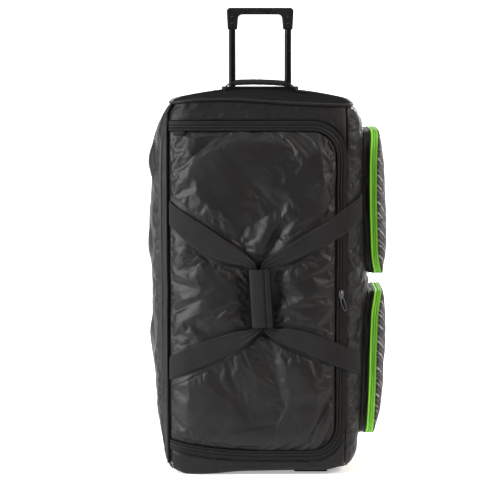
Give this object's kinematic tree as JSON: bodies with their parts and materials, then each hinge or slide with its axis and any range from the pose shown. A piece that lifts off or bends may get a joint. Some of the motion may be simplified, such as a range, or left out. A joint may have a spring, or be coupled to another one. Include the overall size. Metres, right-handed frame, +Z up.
{
  "type": "sports trolley bag",
  "caption": "Large upright sports trolley bag with a zipped lid, side pockets, webbing carry straps, a telescopic handle and wheels.",
  "frame": {"origin": "on the ground under the middle of the whole bag, its side pockets included, with the bag standing on its end", "axes": "+Z up the bag, -Y out of the lid, +X towards the side pockets"},
  "size_m": [0.5002, 0.4078, 0.967],
  "materials": {
    "shell_cloth": "satin black nylon",
    "border_cloth": "plain black nylon",
    "zip_tape": "black zip tape",
    "green_tape": "lime green zip tape",
    "striped_cloth": "black cloth with slanted grey stripes",
    "webbing": "matt dark webbing",
    "hard_plastic": "fine grained black",
    "black_tube": "satin black coating",
    "bright_metal": "satin",
    "wheel_rubber": "matt"
  },
  "bodies": {
    "root": {"lid_panel": "shell_cloth", "left_gusset": "shell_cloth", "right_gusset": "shell_cloth", "back_panel": "shell_cloth", "top_panel": "shell_cloth", "front_top_border": "border_cloth", "front_bottom_border": "border_cloth", "left_corner_strip": "border_cloth", "left_piping": "border_cloth", "top_piping": "border_cloth", "lid_zip": "zip_tape", "upper_pocket_wall": "border_cloth", "lower_pocket_wall": "border_cloth", "upper_pocket_zip": "green_tape", "lower_pocket_zip": "green_tape", "upper_pocket_face": "striped_cloth", "lower_pocket_face": "striped_cloth", "left_carry_strap": "webbing", "right_carry_strap": "webbing", "grip_wrap": "webbing", "grab_handle": "webbing", "grab_wrap": "webbing", "zip_slider": "bright_metal", "zip_pull": "bright_metal", "left_axle": "bright_metal", "right_axle": "bright_metal", "base_panel": "hard_plastic", "back_tray": "hard_plastic", "tube_bezel": "hard_plastic", "guide_bracket": "hard_plastic", "left_wheel_housing": "hard_plastic", "right_wheel_housing": "hard_plastic", "left_front_foot": "hard_plastic", "right_front_foot": "hard_plastic", "left_guide_tube": "black_tube", "right_guide_tube": "black_tube"},
    "trolley_handle": {"trolley_grip": "hard_plastic", "left_trolley_tube": "black_tube", "right_trolley_tube": "black_tube"},
    "left_wheel": {"left_wheel_tyre": "wheel_rubber", "left_wheel_hub": "hard_plastic"},
    "right_wheel": {"right_wheel_tyre": "wheel_rubber", "right_wheel_hub": "hard_plastic"}
  },
  "joints": [
    {"name": "handle_slide", "type": "slide", "parent": "root", "child": "trolley_handle", "axis": [0, 0, 1], "range_m": [-0.115, 0.13]},
    {"name": "left_wheel_spin", "type": "hinge", "parent": "root", "child": "left_wheel", "pos_m": [-0.15583, 0.16135, 0.042], "axis": [1, 0, 0], "continuous": true},
    {"name": "right_wheel_spin", "type": "hinge", "parent": "root", "child": "right_wheel", "pos_m": [0.12417, 0.16135, 0.042], "axis": [1, 0, 0], "continuous": true}
  ]
}
